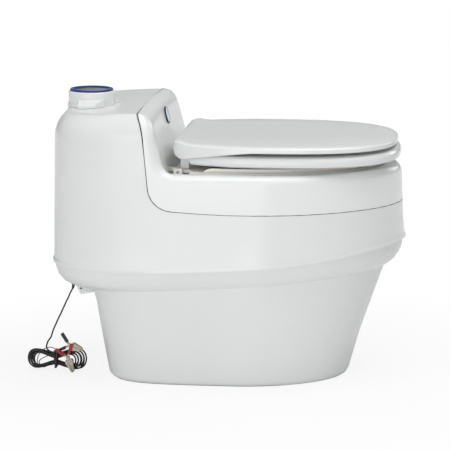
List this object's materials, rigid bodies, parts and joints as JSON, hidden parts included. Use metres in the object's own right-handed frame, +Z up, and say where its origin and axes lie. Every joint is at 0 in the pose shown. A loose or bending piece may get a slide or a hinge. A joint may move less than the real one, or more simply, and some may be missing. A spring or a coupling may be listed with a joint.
{
  "type": "composting toilet",
  "caption": "Stand-alone composting toilet with a tapering moulded tub, hinged seat and lid on a sprung deck, diverting bowl, turning waste container and a fan under the vent outlet.",
  "frame": {"origin": "On the floor under the middle of the body's footprint box.", "axes": "+X points to the toilet's front, +Y to the user's left when seated, +Z up."},
  "size_m": [0.733, 0.456, 0.553],
  "materials": {
    "white_gloss_plastic": "glossy white moulded polypropylene",
    "grey_plastic": "light grey moulded plastic, satin",
    "dark_plastic": "black moulded plastic, satin",
    "blue_rubber": "blue rubber, satin",
    "navy_plastic": "dark blue enamelled rim, glossy",
    "steel": "bright zinc-plated steel",
    "nickel_plate": "nickel-plated spring steel, pressed",
    "red_vinyl": "red vinyl sleeve, satin",
    "black_vinyl": "black vinyl, satin"
  },
  "bodies": {
    "base": {"lower_tub": "white_gloss_plastic", "upper_case": "white_gloss_plastic", "rear_duct": "white_gloss_plastic", "vent_base": "white_gloss_plastic", "vent_socket": "white_gloss_plastic", "vent_seal": "blue_rubber", "fan_shelf": "white_gloss_plastic", "fan_frame": "dark_plastic", "fan_screws": "steel", "turntable_axle": "steel", "pawl_post": "grey_plastic", "drain_hose": "dark_plastic", "drain_spigot": "white_gloss_plastic", "cord_gland": "dark_plastic", "cord_lead": "black_vinyl", "cord_hank": "black_vinyl", "hank_tie": "black_vinyl", "cord_tails": "black_vinyl", "black_clip": "nickel_plate", "black_clip_sleeve": "black_vinyl", "red_clip": "nickel_plate", "red_clip_sleeve": "red_vinyl"},
    "top": {"top_section": "white_gloss_plastic", "bowl_liner": "white_gloss_plastic", "urine_funnel": "white_gloss_plastic", "badge_disc": "white_gloss_plastic", "badge_rim": "navy_plastic", "pivot_brackets": "grey_plastic", "guard_rails": "grey_plastic", "guard_tie_rod": "steel", "press_springs": "steel"},
    "guard": {"view_guard": "white_gloss_plastic"},
    "press": {"press_frame": "grey_plastic", "frame_pins": "steel", "hinge_posts": "white_gloss_plastic", "hinge_pins": "steel"},
    "seat": {"seat_ring": "white_gloss_plastic", "seat_bumpers": "grey_plastic", "seat_lugs": "white_gloss_plastic"},
    "lid": {"seat_lid": "white_gloss_plastic", "lid_bumpers": "grey_plastic", "lid_lugs": "white_gloss_plastic"},
    "rod": {"press_rod": "steel"},
    "pawl": {"pawl_arm": "steel"},
    "turntable": {"turntable": "grey_plastic", "container": "grey_plastic"},
    "bail": {"container_handle": "steel"},
    "impeller": {"fan_impeller": "dark_plastic"},
    "black_jaw": {"black_jaw": "nickel_plate", "black_jaw_sleeve": "black_vinyl"},
    "red_jaw": {"red_jaw": "nickel_plate", "red_jaw_sleeve": "red_vinyl"}
  },
  "joints": [
    {"name": "top_lift", "type": "slide", "parent": "base", "child": "top", "axis": [0, 0, 1], "range_m": [0, 0.3]},
    {"name": "guard_slide", "type": "slide", "parent": "top", "child": "guard", "axis": [-1, 0, 0], "range_m": [0, 0.13]},
    {"name": "seat_press", "type": "hinge", "parent": "top", "child": "press", "pos_m": [-0.084, 0, 0.412], "axis": [0, 1, 0], "range_deg": [0, 0.8], "stiffness_Nm_per_rad": 300, "springref_deg": -2.29, "deforming": ["press_springs"]},
    {"name": "rod_slide", "type": "slide", "parent": "base", "child": "rod", "axis": [0, 0, 1], "range_m": [0, 0.00083]},
    {"name": "pawl_swing", "type": "hinge", "parent": "base", "child": "pawl", "pos_m": [-0.12539, -0.09938, 0.072], "axis": [-0.7837, -0.6211, 0], "range_deg": [0, 11.8]},
    {"name": "turntable_turn", "type": "hinge", "parent": "base", "child": "turntable", "pos_m": [0, 0, 0.02], "axis": [0, 0, 1], "continuous": true},
    {"name": "bail_swing", "type": "hinge", "parent": "turntable", "child": "bail", "pos_m": [0, 0, 0.2933], "axis": [0, -1, 0], "range_deg": [0, 20]},
    {"name": "fan_spin", "type": "hinge", "parent": "base", "child": "impeller", "pos_m": [-0.264, -0.045, 0.459], "axis": [0, 0, 1], "continuous": true},
    {"name": "seat_hinge", "type": "hinge", "parent": "press", "child": "seat", "pos_m": [-0.074, 0, 0.446], "axis": [0, -1, 0], "range_deg": [0, 95]},
    {"name": "lid_hinge", "type": "hinge", "parent": "seat", "child": "lid", "pos_m": [-0.074, 0, 0.446], "axis": [0, 1, 0], "range_deg": [-98, 0]},
    {"name": "black_clip_jaw", "type": "hinge", "parent": "base", "child": "black_jaw", "pos_m": [-0.309, -0.0635, 0.052], "axis": [0, -1, 0], "range_deg": [0, 20], "stiffness_Nm_per_rad": 0.5, "springref_deg": -17.19},
    {"name": "red_clip_jaw", "type": "hinge", "parent": "base", "child": "red_jaw", "pos_m": [-0.311, -0.0745, 0.0305], "axis": [0, -1, 0], "range_deg": [0, 20], "stiffness_Nm_per_rad": 0.5, "springref_deg": -17.19}
  ],
  "couplings": [
    {"joint": "seat_press", "follows": "guard_slide", "rad_per_m": 0.1074},
    {"joint": "rod_slide", "follows": "guard_slide", "ratio": 0.006283},
    {"joint": "pawl_swing", "follows": "guard_slide", "rad_per_m": 1.5708}
  ]
}
